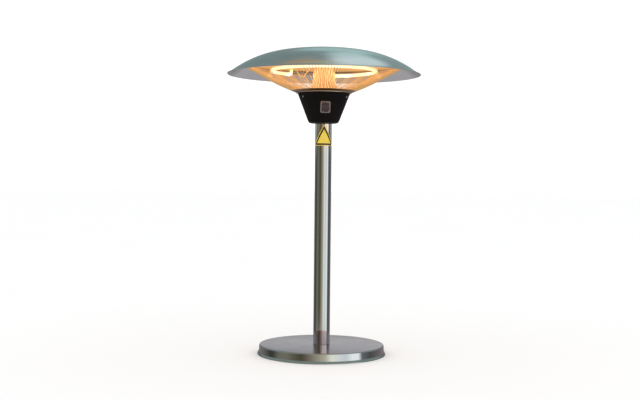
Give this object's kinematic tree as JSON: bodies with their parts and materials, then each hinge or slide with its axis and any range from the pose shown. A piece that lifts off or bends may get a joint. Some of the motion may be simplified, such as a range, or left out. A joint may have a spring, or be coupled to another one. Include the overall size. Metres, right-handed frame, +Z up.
{
  "type": "electric patio heater",
  "caption": "Free-standing round patio heater: wide domed hood over a caged ring lamp and polished column, tapered switch housing, slim pole and heavy round foot.",
  "frame": {"origin": "centre of the foot, on the ground", "axes": "+Z up along the pole, -Y towards the side with the switch, +X to the right seen from that side"},
  "size_m": [0.59, 0.59, 0.9339],
  "materials": {
    "hood_steel": "satin, spun",
    "pole_steel": "polished",
    "foot_steel": "satin top, polished edge",
    "bright_steel": "mirror",
    "guard_wire": "bright wire",
    "plain_steel": "plain",
    "zinc_plated": "zinc plated",
    "concrete": "cast, unpainted",
    "cast_aluminium": "as cast",
    "dark_screw": "blackened",
    "black_rubber": "matt",
    "black_plastic": "fine texture",
    "grey_plastic": "satin",
    "red_plastic": "glossy",
    "smoky_silicone": "clear, smoky",
    "white_ceramic": "matt",
    "glowing_quartz": "lit",
    "yellow_film": "printed film, no marking",
    "glass_fibre_sleeve": "woven",
    "brass": "plain"
  },
  "bodies": {
    "heater": {"base_cover": "foot_steel", "base_edge_trim": "foot_steel", "base_pad": "black_rubber", "base_ballast": "concrete", "base_bolt_1": "zinc_plated", "base_bolt_2": "zinc_plated", "base_bolt_3": "zinc_plated", "pole_foot_plug": "plain_steel", "pole": "pole_steel", "cable_gland": "black_rubber", "pole_label": "yellow_film", "pole_lock_screw": "dark_screw", "pole_socket": "cast_aluminium", "socket_screw_1": "zinc_plated", "socket_screw_2": "zinc_plated", "socket_screw_3": "zinc_plated", "control_housing": "black_plastic", "housing_screw_1": "zinc_plated", "housing_screw_2": "zinc_plated", "housing_screw_3": "zinc_plated", "panel_screw": "dark_screw", "housing_top_plate": "zinc_plated", "column_screw_1": "zinc_plated", "column_screw_2": "zinc_plated", "column_screw_3": "zinc_plated", "centre_column": "bright_steel", "wire_guard": "guard_wire", "hood_plate": "plain_steel", "hood_screw_1": "zinc_plated", "hood_screw_2": "zinc_plated", "hood_screw_3": "zinc_plated", "hood": "hood_steel", "reflector": "bright_steel", "lamp_tube": "glowing_quartz", "lamp_cap_1": "white_ceramic", "lamp_cap_2": "white_ceramic", "lamp_bracket": "bright_steel", "lamp_clip_1": "bright_steel", "lamp_clip_2": "bright_steel", "lamp_lead_1": "glass_fibre_sleeve", "lamp_lead_2": "glass_fibre_sleeve", "switch_body": "black_plastic", "switch_bezel": "grey_plastic", "switch_boot": "smoky_silicone", "switch_lead_1": "glass_fibre_sleeve", "switch_lead_2": "glass_fibre_sleeve", "terminal_block": "white_ceramic", "thermal_cutout": "brass", "tilt_switch_case": "black_plastic", "tilt_pin": "zinc_plated", "micro_switch": "black_plastic"},
    "rocker": {"switch_rocker": "red_plastic"},
    "pendulum": {"tilt_pendulum": "brass"}
  },
  "joints": [
    {"name": "switch_rock", "type": "hinge", "parent": "heater", "child": "rocker", "pos_m": [0, -0.06186, 0.75234], "axis": [1, 0, 0], "range_deg": [0, 20]},
    {"name": "tilt_swing", "type": "hinge", "parent": "heater", "child": "pendulum", "pos_m": [0, 0.03, 0.79], "axis": [0, 1, 0], "range_deg": [-20, 20]}
  ]
}
